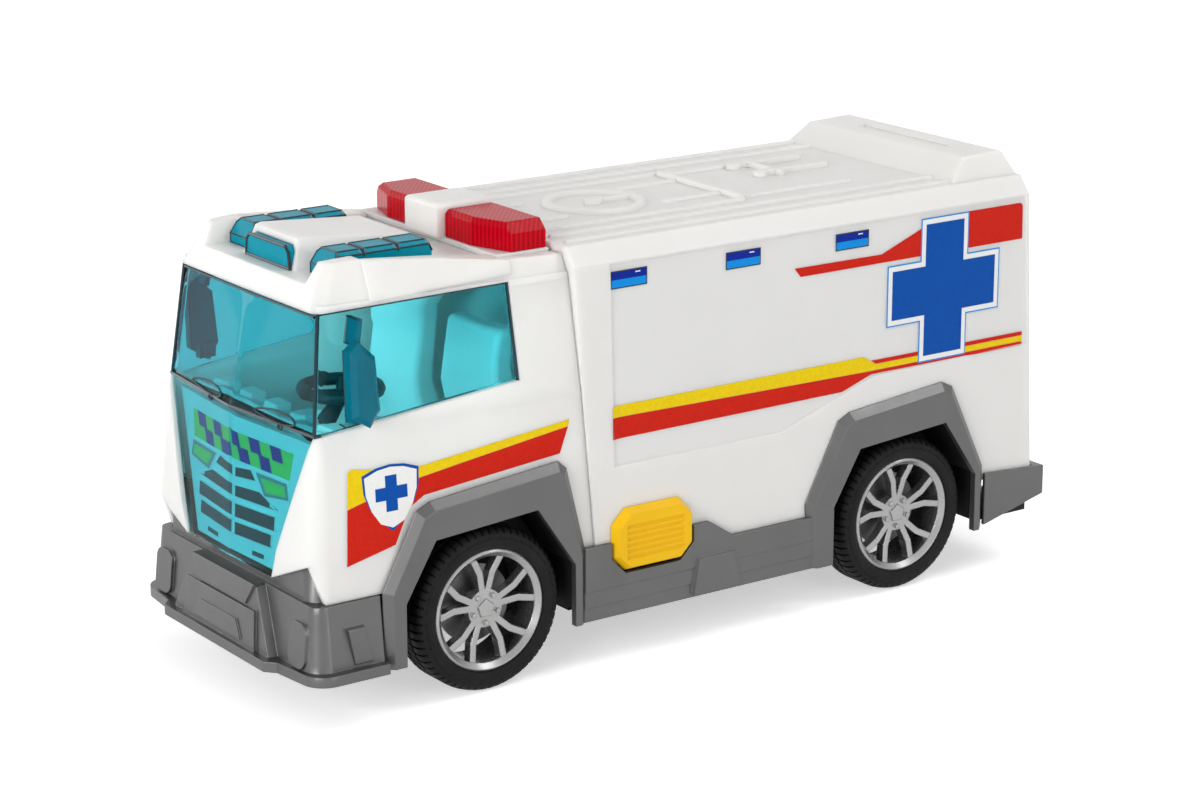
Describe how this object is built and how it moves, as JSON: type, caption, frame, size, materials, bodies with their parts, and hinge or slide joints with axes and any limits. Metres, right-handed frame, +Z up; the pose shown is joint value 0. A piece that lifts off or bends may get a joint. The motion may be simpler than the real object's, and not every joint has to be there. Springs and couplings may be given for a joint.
{
  "type": "toy ambulance",
  "caption": "Toy ambulance with a hollow white cab and box, tinted wrap-around glazing, red roof beacons, a push button and free-rolling wheels.",
  "frame": {"origin": "on the floor, under the middle of the toy's length and width", "axes": "+X forward along the toy, +Y to its left, +Z up"},
  "size_m": [0.27, 0.1, 0.1318],
  "materials": {
    "white_plastic": "semi-gloss moulded white",
    "grey_plastic": "silver-grey moulded, satin",
    "black_plastic": "moulded black, fine texture",
    "teal_clear": "tinted clear plastic",
    "red_clear": "tinted clear red plastic, ribbed",
    "yellow_plastic": "moulded yellow",
    "dark_grey_plastic": "dark grey",
    "rim_silver": "silver paint on plastic",
    "disc_silver": "dull silver paint",
    "axle_steel": "bright drawn rod",
    "tyre": "soft black rubber"
  },
  "bodies": {
    "body": {"arch_liner_front_left": "black_plastic", "arch_liner_front_right": "black_plastic", "arch_liner_rear_left": "black_plastic", "arch_liner_rear_right": "black_plastic", "battery_door": "black_plastic", "battery_pack": "black_plastic", "beacon_block": "white_plastic", "beacon_left": "red_clear", "beacon_right": "red_clear", "box_shell": "white_plastic", "cab_floor": "white_plastic", "cab_shell": "white_plastic", "chassis_base": "black_plastic", "dashboard": "white_plastic", "front_bumper": "grey_plastic", "glazing": "teal_clear", "grille_backing": "white_plastic", "lower_side_left": "grey_plastic", "lower_side_right": "grey_plastic", "mirror_left": "teal_clear", "mirror_right": "teal_clear", "rear_bumper": "grey_plastic", "roof_lamp_left": "teal_clear", "roof_lamp_right": "teal_clear", "scoop_window": "teal_clear", "seat_left": "white_plastic", "seat_right": "white_plastic", "side_button": "yellow_plastic", "steering_wheel": "dark_grey_plastic"},
    "front_wheels": {"brake_disc_front_left": "disc_silver", "brake_disc_front_right": "disc_silver", "front_axle": "axle_steel", "rim_front_left": "rim_silver", "rim_front_right": "rim_silver", "tyre_front_left": "tyre", "tyre_front_right": "tyre"},
    "rear_wheels": {"brake_disc_rear_left": "disc_silver", "brake_disc_rear_right": "disc_silver", "rear_axle": "axle_steel", "rim_rear_left": "rim_silver", "rim_rear_right": "rim_silver", "tyre_rear_left": "tyre", "tyre_rear_right": "tyre"}
  },
  "joints": [
    {"name": "front_wheel_spin", "type": "hinge", "parent": "body", "child": "front_wheels", "pos_m": [0.072, 0, 0.0238], "axis": [0, 1, 0], "continuous": true},
    {"name": "rear_wheel_spin", "type": "hinge", "parent": "body", "child": "rear_wheels", "pos_m": [-0.078, 0, 0.0238], "axis": [0, 1, 0], "continuous": true}
  ]
}
